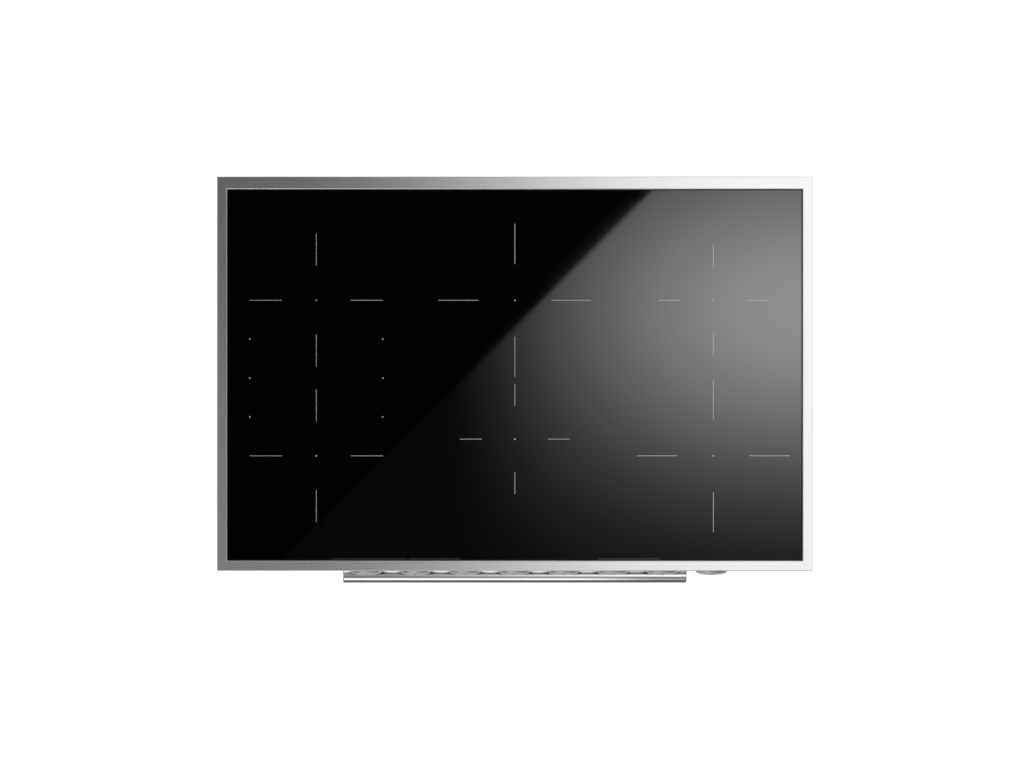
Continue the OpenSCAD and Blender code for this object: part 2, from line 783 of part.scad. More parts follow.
module board_capacitors() {
    color([0.75, 0.6, 0.15]) each_board() translate([0, 0, board_z + board_t]) {
        for (y = [-85, -25, 35]) block([25, y - 12, 0], [65, y + 12, 30]);
        translate([80, 85, 0]) cylinder(r = 14, h = 38);
        translate([40, 85, 0]) cylinder(r = 14, h = 38);
    }
}

// Spacers that hold the boards off the pan
module board_posts() {
    inset = 8;
    color([0.9, 0.9, 0.88]) {
        each_board() for (x = [-1, 1], y = [-1, 1])
            translate([x * (board_w / 2 - inset), y * (board_d / 2 - inset), pan_t])
                cylinder(r = 4, h = board_z - pan_t);
        translate([filter_x, filter_y, pan_t]) for (x = [-1, 1], y = [-1, 1])
            translate([x * (filter_w / 2 - inset), y * (filter_d / 2 - inset), 0])
                cylinder(r = 4, h = board_z - pan_t);
    }
}

// Places something on a fan's axis, with +Z pointing at the heat sinks
module on_fan(side) {
    translate([side * fan_x, fan_y, pan_t + fan_w / 2]) rotate([-90, 0, 0]) children();
}

fan_motor_r = 16;
fan_motor_h = 6;
fan_pin_r = 1.5;

module fan_frames() {
    color([0.1, 0.1, 0.1]) for (side = [-1, 1]) on_fan(side) difference() {
        union() {
            difference() {
                block([-fan_w / 2, -fan_w / 2, 0], [fan_w / 2, fan_w / 2, fan_d]);
                translate([0, 0, -past]) cylinder(r = fan_r, h = fan_d + 2 * past);
            }
            for (k = [0:3]) rotate(45 + k * 90)
                translate([0, -2, 0]) cube([fan_r + 1, 4, 3]);
            cylinder(r = fan_motor_r, h = fan_motor_h);
        }
        translate([0, 0, 2]) cylinder(r = fan_pin_r + free, h = fan_d);
        for (x = [-1, 1], y = [-1, 1])
            translate([x * (fan_w / 2 - 5), y * (fan_w / 2 - 5), -past]) cylinder(r = 2.2, h = fan_d + 2 * past);
    }
}

// Hub with seven pitched blades and the pin that turns in the frame's motor
module fan_impeller(side) {
    hub_h = 16;
    blade_r = fan_r - 1.5;
    color([0.18, 0.18, 0.18]) on_fan(side) translate([0, 0, fan_motor_h + 0.5]) {
        cylinder(r = fan_motor_r + 1, h = hub_h);
        translate([0, 0, -4]) cylinder(r = fan_pin_r, h = 5);
        intersection() {
            for (k = [0:6]) rotate(k * 360 / 7) translate([fan_motor_r, 0, hub_h / 2])
                rotate([38, 0, 0]) translate([-1, -12, -0.8]) cube([blade_r, 24, 1.6]);
            translate([0, 0, 0.5]) cylinder(r = blade_r, h = hub_h - 1);
        }
    }
}

module filter_board() {
    color([0.12, 0.4, 0.22]) translate([filter_x, filter_y, board_z])
        block([-filter_w / 2, -filter_d / 2, 0], [filter_w / 2, filter_d / 2, board_t]);
}

module filter_chokes() {
    color([0.7, 0.4, 0.15]) for (k = [-1, 0, 1])
        translate([filter_x + k * 52, filter_y, board_z + board_t + 7]) rotate_extrude()
            translate([14, 0]) circle(7, $fn = 32);
}

// Five-way mains terminal with screw wells on top and wire holes towards the back
module terminal_block() {
    ways = 5;
    pitch = 11;
    color([0.92, 0.9, 0.84]) difference() {
        translate([terminal_x, terminal_y, pan_t]) block([-ways * pitch / 2, -14, 0], [ways * pitch / 2, 14, 26]);
        for (k = [0:ways - 1]) translate([terminal_x + (k - (ways - 1) / 2) * pitch, terminal_y, pan_t]) {
            translate([0, -4, 14]) cylinder(r = 3, h = 20);
            translate([0, 2, 8]) rotate([-90, 0, 0]) cylinder(r = 3, h = 20);
        }
    }
}

// Cable gland in the pan's back wall: nut outside, locknut inside, and the bore for the supply cable
module cable_gland() {
    outer = 20;
    inner = 7;
    nut_r = 14;
    color([0.25, 0.25, 0.26]) translate([terminal_x, pan_back, gland_z]) rotate([-90, 0, 0]) difference() {
        union() {
            translate([0, 0, -pan_t - inner]) cylinder(r = gland_thread_r, h = inner + pan_t + outer);
            cylinder(r = nut_r, h = 10, $fn = 6);
            cylinder(r = 12, h = outer);
            translate([0, 0, -pan_t - inner]) cylinder(r = nut_r, h = inner, $fn = 6);
        }
        translate([0, 0, -pan_t - inner - past]) cylinder(r = gland_r, h = inner + pan_t + outer + 2 * past);
    }
}

module case_screws() {
    head_h = 2.4;
    head_r = 3.5;
    color([0.7, 0.7, 0.72]) {
        for (p = flange_screws()) translate([p.x, p.y, pan_top - pan_t]) {
            translate([0, 0, -head_h]) cylinder(r = head_r, h = head_h);
            cylinder(r = flange_screw_r, h = pan_t + tray_t + sheet_t - 0.2);
        }
        for (p = foot_screws) translate([p.x, p.y, 0]) {
            cylinder(r = foot_screw_r, h = pan_t + sheet_t);
            translate([0, 0, pan_t + sheet_t]) cylinder(r = 4, h = head_h);
        }
    }
}

// ---------- nodes ----------

top_frame();
glass_top();
glass_seal();
zone_print();
for (k = [0:5]) {
    coil(ZONES[k]);
    coil_carrier(ZONES[k]);
}
ferrite_bars();
mica_discs();
coil_sensors();
coil_springs();
coil_tray();
bottom_pan();
side_springs();
control_panel();
display_window();
for (i = [0:knob_count - 1]) {
    knob(i);
    knob_shaft(i);
}
knob_bezels();
encoder_bodies();
control_board();
rail_tube();
rail_end_caps();
rail_posts();
rail_screws();
power_boards();
heat_sinks();
board_capacitors();
board_posts();
fan_frames();
fan_impeller(-1);  // fan_impeller_left
fan_impeller(1);  // fan_impeller_right
filter_board();
filter_chokes();
terminal_block();
cable_gland();
case_screws();
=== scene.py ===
"""Visual model of a drop-in electric induction cooktop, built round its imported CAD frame."""

import logging
import math
from collections.abc import Callable
from dataclasses import dataclass
from enum import Enum

import bmesh
import bpy
from mathutils import Matrix, Vector


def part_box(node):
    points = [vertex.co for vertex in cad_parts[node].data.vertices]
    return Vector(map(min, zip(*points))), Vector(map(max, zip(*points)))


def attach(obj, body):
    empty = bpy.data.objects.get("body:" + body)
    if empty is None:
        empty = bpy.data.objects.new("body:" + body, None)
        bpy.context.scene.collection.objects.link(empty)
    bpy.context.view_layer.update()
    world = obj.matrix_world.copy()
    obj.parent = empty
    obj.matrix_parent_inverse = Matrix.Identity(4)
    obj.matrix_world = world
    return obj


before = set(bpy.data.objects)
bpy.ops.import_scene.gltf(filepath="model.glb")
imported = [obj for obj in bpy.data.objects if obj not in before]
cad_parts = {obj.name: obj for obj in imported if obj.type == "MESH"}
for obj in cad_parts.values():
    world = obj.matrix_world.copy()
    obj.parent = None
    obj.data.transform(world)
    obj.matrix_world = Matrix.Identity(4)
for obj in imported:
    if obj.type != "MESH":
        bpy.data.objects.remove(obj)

Socket = bpy.types.NodeSocket
Value = float | bpy.types.NodeSocket
Pair = tuple[float, float]
Triple = tuple[float, float, float]
Pattern = Callable[["Nodes", Socket, Socket], Socket]

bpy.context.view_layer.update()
LOG = logging.getLogger("cooktop")
MM = 0.001
CHASSIS = "chassis"
KNOB_COUNT = 8
ZONES = ("back_left", "front_left", "back_centre", "front_centre", "back_right", "front_right")
FULL_RANGE = (0.0, 1.0)
GRAIN_RANGE = (0.3, 0.7)
CLOUD_RANGE = (0.35, 0.65)
GLASS = ("glass_top",)
RAIL = ("rail_tube", "rail_end_caps", "rail_posts")


class Axis(Enum):
    """Direction in which a surface is brushed, rolled or extruded."""

    X = 0
    Y = 1
    Z = 2


# ---------------------------------------------------------------- nodes


class Nodes:
    """A node tree, with short ways to add the nodes that the finishes and lights use."""

    def __init__(self, tree: bpy.types.NodeTree) -> None:
        """Keeps the tree that the nodes go into."""
        self.tree = tree

    def add(self, kind: str, **settings: object) -> bpy.types.Node:
        """Adds a node.

        Args:
            kind: the node's type name after "ShaderNode".
            settings: properties to set on the node.

        Returns:
            The new node.
        """
        node = self.tree.nodes.new("ShaderNode" + kind)
        for key, value in settings.items():
            setattr(node, key, value)
        return node

    def link(self, source: Socket, node: bpy.types.Node, key: str | int) -> None:
        """Joins an output socket to one of a node's inputs."""
        self.tree.links.new(source, node.inputs[key])

    def math(self, operation: str, *values: Value) -> Socket:
        """Adds a Math node.

        Args:
            operation: the node's operation.
            values: what it works on, each a number or a socket.

        Returns:
            The result's socket.
        """
        node = self.add("Math", operation=operation)
        for index, value in enumerate(values):
            if isinstance(value, (int, float)):
                node.inputs[index].default_value = value
            else:
                self.link(value, node, index)
        return node.outputs[0]

    def blend(self, a: Socket, b: Socket, share: float) -> Socket:
        """Adds two values, of which b counts for a share."""
        return self.math("ADD", self.math("MULTIPLY", a, 1.0 - share), self.math("MULTIPLY", b, share))

    def length(self, a: Socket, b: Socket) -> Socket:
        """Length of a flat vector with the parts a and b."""
        return self.math("SQRT", self.math("ADD", self.math("MULTIPLY", a, a), self.math("MULTIPLY", b, b)))

    def split(self, vector: Socket) -> tuple[Socket, Socket, Socket]:
        """Splits a vector.

        Args:
            vector: its socket.

        Returns:
            The sockets of its X, Y and Z.
        """
        node = self.add("SeparateXYZ")
        self.link(vector, node, 0)
        return tuple(node.outputs)

    def span(self, value: Socket, low: float, high: float, start: float = 0.0, end: float = 1.0,
             curve: str = "LINEAR") -> Socket:
        """Maps a value from start..end to low..high, held at the ends.

        Args:
            value: the value's socket.
            low: the result at start.
            high: the result at end.
            start: where the change begins.
            end: where the change ends.
            curve: LINEAR, or SMOOTHSTEP for an eased change.

        Returns:
            The result's socket.
        """
        node = self.add("MapRange", clamp=True, interpolation_type=curve)
        self.link(value, node, "Value")
        for key, number in (("From Min", start), ("From Max", end), ("To Min", low), ("To Max", high)):
            node.inputs[key].default_value = number
        return node.outputs[0]

    def ease(self, value: Socket, start: float, end: float, low: float = 0.0, high: float = 1.0) -> Socket:
        """Eases a value from low at start to high at end."""
        return self.span(value, low, high, start, end, "SMOOTHSTEP")


class Shade(Nodes):
    """A material's node tree with its shader."""

    def __init__(self, name: str) -> None:
        """Starts an empty material.

        Args:
            name: the material's name.
        """
        self.material = bpy.data.materials.new(name)
        self.material.use_nodes = True
        super().__init__(self.material.node_tree)
        self.tree.nodes.clear()
        self.out = self.add("OutputMaterial")
        self.bsdf = self.add("BsdfPrincipled")
        self.link(self.bsdf.outputs[0], self.out, 0)
        self.coords = self.add("TexCoord").outputs["Object"]

    def set(self, **values: object) -> None:
        """Sets constant values on the shader's own sockets, by socket name with _ for a space."""
        for key, value in values.items():
            self.bsdf.inputs[key.replace("_", " ")].default_value = value

    def feed(self, **sockets: Socket) -> None:
        """Joins sockets to the shader's own, by socket name with _ for a space."""
        for key, socket in sockets.items():
            self.link(socket, self.bsdf, key.replace("_", " "))

    def mapped(self, scale: Triple = (1.0, 1.0, 1.0), centre: Triple = (0.0, 0.0, 0.0)) -> Socket:
        """Object coordinates taken from a centre and scaled.

        Args:
            scale: factors along X, Y and Z.
            centre: the point that becomes the pattern's origin.

        Returns:
            The coordinates' socket.
        """
        node = self.add("Mapping")
        node.inputs["Scale"].default_value = scale
        node.inputs["Location"].default_value = [-c * s for c, s in zip(centre, scale)]
        self.link(self.coords, node, "Vector")
        return node.outputs[0]

    def noise(self, vector: Socket, detail: float = 3.0, rough: float = 0.55) -> Socket:
        """Adds a noise texture.

        Args:
            vector: the coordinates' socket.
            detail: number of octaves.
            rough: how strong the finer octaves are.

        Returns:
            The socket of a value round 0.5.
        """
        node = self.add("TexNoise")
        self.link(vector, node, "Vector")
        for key, number in (("Scale", 1.0), ("Detail", detail), ("Roughness", rough)):
            node.inputs[key].default_value = number
        return node.outputs[0]

    def grain(self, scale: float, detail: float = 3.0) -> Socket:
        """Noise of the same scale along X, Y and Z."""
        return self.noise(self.mapped((scale, scale, scale)), detail)

    def cells(self, scale: float, output: str, feature: str = "F1", disorder: float = 1.0) -> Socket:
        """Adds a cell texture.

        Args:
            scale: number of cells in a metre.
            output: name of the output that is used.
            feature: what the node measures.
            disorder: how far the cells are from a square grid, 0 to 1.

        Returns:
            The output's socket.
        """
        node = self.add("TexVoronoi", feature=feature)
        self.link(self.mapped(), node, "Vector")
        node.inputs["Scale"].default_value = scale
        node.inputs["Randomness"].default_value = disorder
        return node.outputs[output]

    def mix(self, factor: Socket, a: Triple | Socket, b: Triple | Socket) -> Socket:
        """Mixes two colours.

        Args:
            factor: socket of the share of b.
            a: colour or socket at 0.
            b: colour or socket at 1.

        Returns:
            The mixed colour's socket.
        """
        node = self.add("Mix", data_type="RGBA")
        self.link(factor, node, 0)
        for index, value in ((6, a), (7, b)):
            if isinstance(value, tuple):
                node.inputs[index].default_value = (*value[:3], 1.0)
            else:
                self.link(value, node, index)
        return node.outputs[2]

    def shaded(self, value: Socket, colour: Triple, tones: Pair, over: Pair) -> Socket:
        """A colour that a value makes darker or lighter.

        Args:
            value: the value's socket.
            colour: the colour.
            tones: its factors at the low and high end.
            over: the value's low and high end.

        Returns:
            The colour's socket.
        """
        share = self.span(value, 0.0, 1.0, *over)
        return self.mix(share, toned(colour, tones[0]), toned(colour, tones[1]))

    def varied(self, value: Socket, number: float, spread: Pair, over: Pair) -> Socket:
        """A number, such as a roughness, that a value makes smaller or larger, up to 1.

        Args:
            value: the value's socket.
            number: the number.
            spread: its factors at the low and high end.
            over: the value's low and high end.

        Returns:
            The number's socket.
        """
        return self.span(value, number * spread[0], min(1.0, number * spread[1]), *over)

    def bump(self, height: Socket, distance: float, strength: float = 0.5) -> None:
        """Adds a bump node and feeds it to the shader.

        Args:
            height: socket of the height.
            distance: height of the relief in metres.
            strength: how strongly it shows.
        """
        node = self.add("Bump")
        node.inputs["Strength"].default_value = strength
        node.inputs["Distance"].default_value = distance
        self.link(height, node, "Height")
        self.feed(Normal=node.outputs[0])


def along(axis: Axis, fine: float, coarse: float) -> Triple:
    """Scale factors for a pattern: coarse along the grain's axis, fine across it."""
    return tuple(coarse if k == axis.value else fine for k in range(3))


def toned(colour: Triple, factor: float) -> Triple:
    """A colour made lighter or darker by a factor, up to full brightness."""
    return tuple(min(1.0, c * factor) for c in colour)


# ---------------------------------------------------------------- finishes


@dataclass(frozen=True)
class BrushedSteel:
    """Stainless sheet with a fine straight grain."""

    name: str
    grain: Axis = Axis.X
    tint: Triple = (0.62, 0.62, 0.625)
    roughness: float = 0.27
    relief: float = 0.006 * MM
    fine: Pair = (2600.0, 14.0)
    broad: Pair = (700.0, 5.0)
    broad_share: float = 0.25
    tones: Pair = (0.93, 1.05)
    gloss: Pair = (0.86, 1.16)

    def streaks(self, shade: Shade, axis: Axis) -> Socket:
        """Fine and broad grain along one axis.

        Args:
            shade: the material.
            axis: the direction of the grain.

        Returns:
            The socket of a value round 0.5.
        """
        fine = shade.noise(shade.mapped(along(axis, *self.fine)), detail=2.0)
        broad = shade.noise(shade.mapped(along(axis, *self.broad)), detail=3.0)
        return shade.blend(fine, broad, self.broad_share)

    def grain_value(self, shade: Shade) -> Socket:
        """The socket of this finish's grain."""
        return self.streaks(shade, self.grain)

    def make(self) -> bpy.types.Material:
        """Builds the material.

        Returns:
            The new material.
        """
        shade = Shade(self.name)
        value = self.grain_value(shade)
        shade.feed(
            Base_Color=shade.shaded(value, self.tint, self.tones, GRAIN_RANGE),
            Roughness=shade.varied(value, self.roughness, self.gloss, GRAIN_RANGE),
        )
        shade.set(Metallic=1.0)
        shade.bump(value, self.relief, 0.6)
        return shade.material


@dataclass(frozen=True)
class MitredSteel(BrushedSteel):
    """Brushed frame whose grain follows each side and meets in fine mitre joints."""

    half_width: float = 450 * MM
    half_depth: float = 298 * MM
    joint: float = 0.25 * MM
    joint_tone: float = 0.45

    def grain_value(self, shade: Shade) -> Socket:
        """Grain along X at front and back and along Y at the sides.

        Args:
            shade: the material.

        Returns:
            The grain's socket, darker along the joints.
        """
        x, y, _ = shade.split(shade.coords)
        to_side = shade.math("SUBTRACT", self.half_width, shade.math("ABSOLUTE", x))
        to_end = shade.math("SUBTRACT", self.half_depth, shade.math("ABSOLUTE", y))
        apart = shade.math("SUBTRACT", to_end, to_side)
        is_side = shade.math("GREATER_THAN", apart, 0.0)
        seam = shade.span(shade.math("ABSOLUTE", apart), 0.0, 1.0, 0.0, self.joint)
        side = shade.math("MULTIPLY", self.streaks(shade, Axis.Y), is_side)
        is_end = shade.math("SUBTRACT", 1.0, is_side)
        end = shade.math("MULTIPLY", self.streaks(shade, Axis.X), is_end)
        return shade.math("MULTIPLY", shade.math("ADD", side, end), shade.span(seam, self.joint_tone, 1.0))


@dataclass(frozen=True)
class PolishedSteel:
    """Bright drawn tube: smooth, with faint lines along it and slight smears."""

    name: str
    tint: Triple = (0.8, 0.8, 0.805)
    roughness: float = 0.09
    lines: Pair = (1900.0, 5.0)
    smears: Pair = (60.0, 9.0)
    tones: Pair = (0.96, 1.0)
    gloss: Pair = (0.7, 1.6)

    def make(self) -> bpy.types.Material:
        """Builds the material.

        Returns:
            The new material.
        """
        shade = Shade(self.name)
        lines = shade.noise(shade.mapped(along(Axis.X, *self.lines)), detail=2.0)
        smears = shade.noise(shade.mapped(along(Axis.X, *self.smears)), detail=4.0)
        value = shade.blend(lines, smears, 0.5)
        shade.feed(
            Base_Color=shade.shaded(value, self.tint, self.tones, FULL_RANGE),
            Roughness=shade.varied(value, self.roughness, self.gloss, GRAIN_RANGE),
        )
        shade.set(Metallic=1.0)
        shade.bump(lines, 0.001 * MM)
        return shade.material


@dataclass(frozen=True)
class TurnedMetal:
    """Satin turned metal with fine rings round an axis that runs front to back."""

    name: str
    centre: Triple = (0.0, 0.0, 0.0)
    tint: Triple = (0.46, 0.46, 0.465)
    roughness: float = 0.4
    ring_scale: float = 2400.0
    angle_scale: float = 0.8
    blast_scale: float = 900.0
    blast_share: float = 0.3
    tones: Pair = (0.94, 1.0)
    gloss: Pair = (0.88, 1.15)

    def make(self) -> bpy.types.Material:
        """Builds the material.

        Returns:
            The new material.
        """
        shade = Shade(self.name)
        x, y, z = shade.split(shade.mapped(centre=self.centre))
        radius, angle = shade.length(x, z), shade.math("ARCTAN2", z, x)
        joined = shade.add("CombineXYZ")
        parts = ((radius, self.ring_scale), (y, self.ring_scale), (angle, self.angle_scale))
        for index, (part, scale) in enumerate(parts):
            shade.link(shade.math("MULTIPLY", part, scale), joined, index)
        rings = shade.noise(joined.outputs[0], detail=2.0)
        value = shade.blend(rings, shade.grain(self.blast_scale, 2.0), self.blast_share)
        shade.feed(
            Base_Color=shade.shaded(value, self.tint, self.tones, GRAIN_RANGE),
            Roughness=shade.varied(value, self.roughness, self.gloss, GRAIN_RANGE),
        )
        shade.set(Metallic=1.0)
        shade.bump(value, 0.005 * MM)
        return shade.material


@dataclass(frozen=True)
class BlackGlass:
    """Polished black glass-ceramic with a trace of handling smears."""

    name: str
    colour: Triple = (0.0005, 0.0005, 0.0006)
    roughness: float = 0.042
    ior: float = 1.52
    speckle: float = 1500.0
    smear: Triple = (5.0, 7.0, 5.0)
    smear_range: Pair = (0.35, 0.7)
    tones: Pair = (1.0, 1.5)
    gloss: Pair = (0.9, 1.25)

    def make(self) -> bpy.types.Material:
        """Builds the material.

        Returns:
            The new material.
        """
        shade = Shade(self.name)
        smears = shade.noise(shade.mapped(self.smear), detail=5.0, rough=0.6)
        shade.feed(
            Base_Color=shade.shaded(shade.grain(self.speckle, 1.0), self.colour, self.tones, CLOUD_RANGE),
            Roughness=shade.varied(smears, self.roughness, self.gloss, self.smear_range),
        )
        shade.set(IOR=self.ior)
        return shade.material


@dataclass(frozen=True)
class Galvanised:
    """Zinc-coated sheet with its crystal spangle."""

    name: str
    tint: Triple = (0.5, 0.515, 0.53)
    spangle: float = 95.0
    cloud: float = 30.0
    cloud_share: float = 0.35
    tones: Pair = (0.78, 1.18)
    roughness: Pair = (0.3, 0.52)

    def make(self) -> bpy.types.Material:
        """Builds the material.

        Returns:
            The new material.
        """
        shade = Shade(self.name)
        crystal = shade.add("SeparateColor")
        shade.link(shade.cells(self.spangle, "Color"), crystal, 0)
        tone = shade.blend(crystal.outputs[0], shade.grain(self.cloud, 2.0), self.cloud_share)
        shade.feed(
            Base_Color=shade.shaded(tone, self.tint, self.tones, FULL_RANGE),
            Roughness=shade.span(tone, *self.roughness),
        )
        shade.set(Metallic=1.0)
        shade.bump(tone, 0.01 * MM, 0.35)
        return shade.material


@dataclass(frozen=True)
class Moulded:
    """Moulded plastic, rubber or ceramic with a fine surface texture and slight shade changes."""

    name: str
    colour: Triple
    roughness: float = 0.5
    texture: float = 700.0
    relief: float = 0.01 * MM
    contrast: float = 0.12
    coat: float = 0.0
    coat_roughness: float = 0.08
    cloud: float = 22.0
    gloss: Pair = (0.9, 1.12)

    def make(self) -> bpy.types.Material:
        """Builds the material.

        Returns:
            The new material.
        """
        shade = Shade(self.name)
        fine, cloudy = shade.grain(self.texture), shade.grain(self.cloud)
        value, tones = shade.blend(fine, cloudy, 0.5), (1.0 - self.contrast, 1.0 + self.contrast)
        shade.feed(
            Base_Color=shade.shaded(value, self.colour, tones, CLOUD_RANGE),
            Roughness=shade.varied(cloudy, self.roughness, self.gloss, CLOUD_RANGE),
        )
        shade.set(Coat_Weight=self.coat, Coat_Roughness=self.coat_roughness)
        shade.bump(fine, self.relief)
        return shade.material


@dataclass(frozen=True)
class Sheet:
    """Plain metal sheet, extrusion or plated part with faint lines along one axis."""

    name: str
    tint: Triple
    grain: Axis = Axis.Y
    roughness: float = 0.33
    lines: Pair = (900.0, 12.0)
    stain: float = 35.0
    tones: Pair = (0.85, 1.0)
    gloss: Pair = (0.8, 1.25)

    def make(self) -> bpy.types.Material:
        """Builds the material.

        Returns:
            The new material.
        """
        shade = Shade(self.name)
        lines = shade.noise(shade.mapped(along(self.grain, *self.lines)), detail=2.0)
        value = shade.blend(lines, shade.grain(self.stain, 4.0), 0.5)
        shade.feed(
            Base_Color=shade.shaded(value, self.tint, self.tones, CLOUD_RANGE),
            Roughness=shade.varied(value, self.roughness, self.gloss, CLOUD_RANGE),
        )
        shade.set(Metallic=1.0)
        shade.bump(lines, 0.008 * MM)
        return shade.material


@dataclass(frozen=True)
class CircuitBoard:
    """Green solder mask over copper tracks."""

    name: str
    mask: Triple = (0.006, 0.075, 0.028)
    track: Triple = (0.02, 0.17, 0.06)
    pitch: float = 260.0
    disorder: float = 0.45
    track_edge: Pair = (0.06, 0.14)
    roughness: Pair = (0.34, 0.25)

    def make(self) -> bpy.types.Material:
        """Builds the material.

        Returns:
            The new material.
        """
        shade = Shade(self.name)
        to_edge = shade.cells(self.pitch, "Distance", "DISTANCE_TO_EDGE", self.disorder)
        tracks = shade.span(to_edge, 1.0, 0.0, *self.track_edge)
        shade.feed(
            Base_Color=shade.mix(tracks, self.mask, self.track),
            Roughness=shade.span(tracks, *self.roughness),
        )
        shade.set(Coat_Weight=0.3, Coat_Roughness=0.12)
        shade.bump(tracks, 0.03 * MM, 0.6)
        return shade.material


@dataclass(frozen=True)
class LitzWire:
    """Varnished copper litz: fine strands twisted along each turn of a flat winding, with painted shade in
    the grooves between strands.
    """

    name: str
    centre: Triple
    copper: Triple = (0.62, 0.27, 0.11)
    pitch: float = 3.9 * MM
    twists: float = 72.0
    # the low tone, 0.45, is painted shade in the grooves between strands
    tones: Pair = (0.45, 1.0)
    roughness: Pair = (0.42, 0.26)

    def make(self) -> bpy.types.Material:
        """Builds the material.

        Returns:
            The new material.
        """
        shade = Shade(self.name)
        x, y, _ = shade.split(shade.mapped(centre=self.centre))
        turns = shade.math("DIVIDE", shade.length(x, y), self.pitch)
        across = shade.math("MULTIPLY", turns, 2.0 * math.pi)
        around = shade.math("MULTIPLY", shade.math("ARCTAN2", y, x), self.twists)
        strands = shade.math("SINE", shade.math("ADD", around, across))
        height = shade.span(strands, 0.0, 1.0, -1.0, 1.0)
        shade.feed(
            # colour darkens from each strand's crest to the groove beside it: painted shade
            Base_Color=shade.shaded(height, self.copper, self.tones, FULL_RANGE),
            Roughness=shade.span(height, *self.roughness),
        )
        shade.set(Metallic=0.85, Coat_Weight=0.4, Coat_Roughness=0.15)
        shade.bump(height, 0.2 * MM, 0.7)
        return shade.material


@dataclass(frozen=True)
class FiredPrint:
    """Fired enamel print: light grey marks, with dim lines next to the front edge."""

    name: str
    edge: float
    mark: Triple = (0.44, 0.44, 0.44)
    line: Triple = (0.02, 0.02, 0.021)
    speckle: float = 1600.0
    tones: Pair = (0.88, 1.0)
    roughness: Pair = (0.38, 0.5)

    def make(self) -> bpy.types.Material:
        """Builds the material.

        Returns:
            The new material.
        """
        shade = Shade(self.name)
        y = shade.split(shade.coords)[1]
        speckle = shade.grain(self.speckle, 2.0)
        mark = shade.shaded(speckle, self.mark, self.tones, CLOUD_RANGE)
        shade.feed(
            Base_Color=shade.mix(shade.math("LESS_THAN", y, self.edge), mark, self.line),
            Roughness=shade.span(speckle, *self.roughness),
        )
        shade.bump(speckle, 0.01 * MM)
        return shade.material


# ---------------------------------------------------------------- meshes


def dress(node: str, material: bpy.types.Material) -> None:
    """Gives a carried-over CAD node its finish.

    Args:
        node: the node's name.
        material: the finish.
    """
    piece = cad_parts[node]
    piece.data.materials.clear()
    piece.data.materials.append(material)
    LOG.info("dressed %s in %s", node, material.name)


def keep(shape: bmesh.types.BMesh, name: str, material: bpy.types.Material, body: str) -> None:
    """Turns a finished bmesh into a piece that rides on a body.

    Args:
        shape: the bmesh, freed here.
        name: the piece's name.
        material: its finish.
        body: the CAD body it moves with.
    """
    bmesh.ops.remove_doubles(shape, verts=shape.verts, dist=0.001 * MM)
    bmesh.ops.recalc_face_normals(shape, faces=shape.faces)
    mesh = bpy.data.meshes.new(name)
    shape.to_mesh(mesh)
    shape.free()
    mesh.shade_flat()
    mesh.materials.append(material)
    piece = bpy.data.objects.new(name, mesh)
    bpy.context.scene.collection.objects.link(piece)
    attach(piece, body)
    LOG.info("built %s, %d faces", name, len(mesh.polygons))


def add_box(shape: bmesh.types.BMesh, low: Triple, high: Triple, bevel: float) -> None:
    """Adds a box with rounded edges.

    Args:
        shape: the bmesh that gets it.
        low: its lowest corner.
        high: its highest corner.
        bevel: radius of its edges.
    """
    low, high = Vector(low), Vector(high)
    size, middle = high - low, (low + high) / 2
    place = Matrix.Translation(middle) @ Matrix.Diagonal((*size, 1.0))
    made = bmesh.ops.create_cube(shape, size=1.0, matrix=place)
    edges = list({edge for vert in made["verts"] for edge in vert.link_edges})
    bmesh.ops.bevel(shape, geom=edges, offset=bevel, offset_type="OFFSET", segments=2, profile=0.5,
                    affect="EDGES", clamp_overlap=True, material=-1)


@dataclass
class DialPlate:
    """Engraved and filled marks on the panel round a knob: an off dot and the digits 1 to 9."""

    face_y: float
    knob_z: float
    digit_r: float = 35.2 * MM
    digit_size: float = 4.86 * MM
    dot_r: float = 1.1 * MM
    film: float = 0.08 * MM
    first_angle: float = 40.0
    step: float = 30.0
    levels: int = 9

    def glyph(self, text: str) -> bpy.types.Mesh:
        """Makes one digit as a thin flat mesh, centred on the origin.

        Args:
            text: the digit.

        Returns:
            The mesh, lying in XY.
        """
        curve = bpy.data.curves.new("digit", "FONT")
        curve.body, curve.size = text, self.digit_size
        curve.align_x, curve.align_y = "CENTER", "CENTER"
        curve.extrude = self.film / 2
        curve.resolution_u = 3
        holder = bpy.data.objects.new("digit", curve)
        bpy.context.scene.collection.objects.link(holder)
        bpy.context.view_layer.update()
        evaluated = holder.evaluated_get(bpy.context.evaluated_depsgraph_get())
        mesh = bpy.data.meshes.new_from_object(evaluated)
        bpy.data.objects.remove(holder)
        bpy.data.curves.remove(curve)
        return mesh

    def place(self, x: float, angle: float) -> Matrix:
        """Stands a flat mark up against the panel, at a clockwise angle from the top of a knob.

        Args:
            x: the knob's place along the panel.
            angle: degrees clockwise from the top.

        Returns:
            The transform from XY to the mark's place.
        """
        turn = math.radians(angle)
        right, up = self.digit_r * math.sin(turn), self.digit_r * math.cos(turn)
        point = Vector((x + right, self.face_y - self.film / 2, self.knob_z + up))
        return Matrix.Translation(point) @ Matrix.Rotation(math.pi / 2, 4, "X")

    def build(self, index: int, x: float, ink: bpy.types.Material) -> None:
        """Builds one knob's scale.

        Args:
            index: the knob's number, from 1.
            x: its place along the panel.
            ink: finish of the marks.
        """
        shape = bmesh.new()
        for level in range(1, self.levels + 1):
            mesh = self.glyph(str(level))
            mesh.transform(self.place(x, self.first_angle + (level - 1) * self.step))
            shape.from_mesh(mesh)
            bpy.data.meshes.remove(mesh)
        bmesh.ops.create_cone(shape, cap_ends=True, segments=24, radius1=self.dot_r, radius2=self.dot_r,
                              depth=self.film, matrix=self.place(x, 0.0))
        keep(shape, f"dial_marks_{index}", ink, CHASSIS)


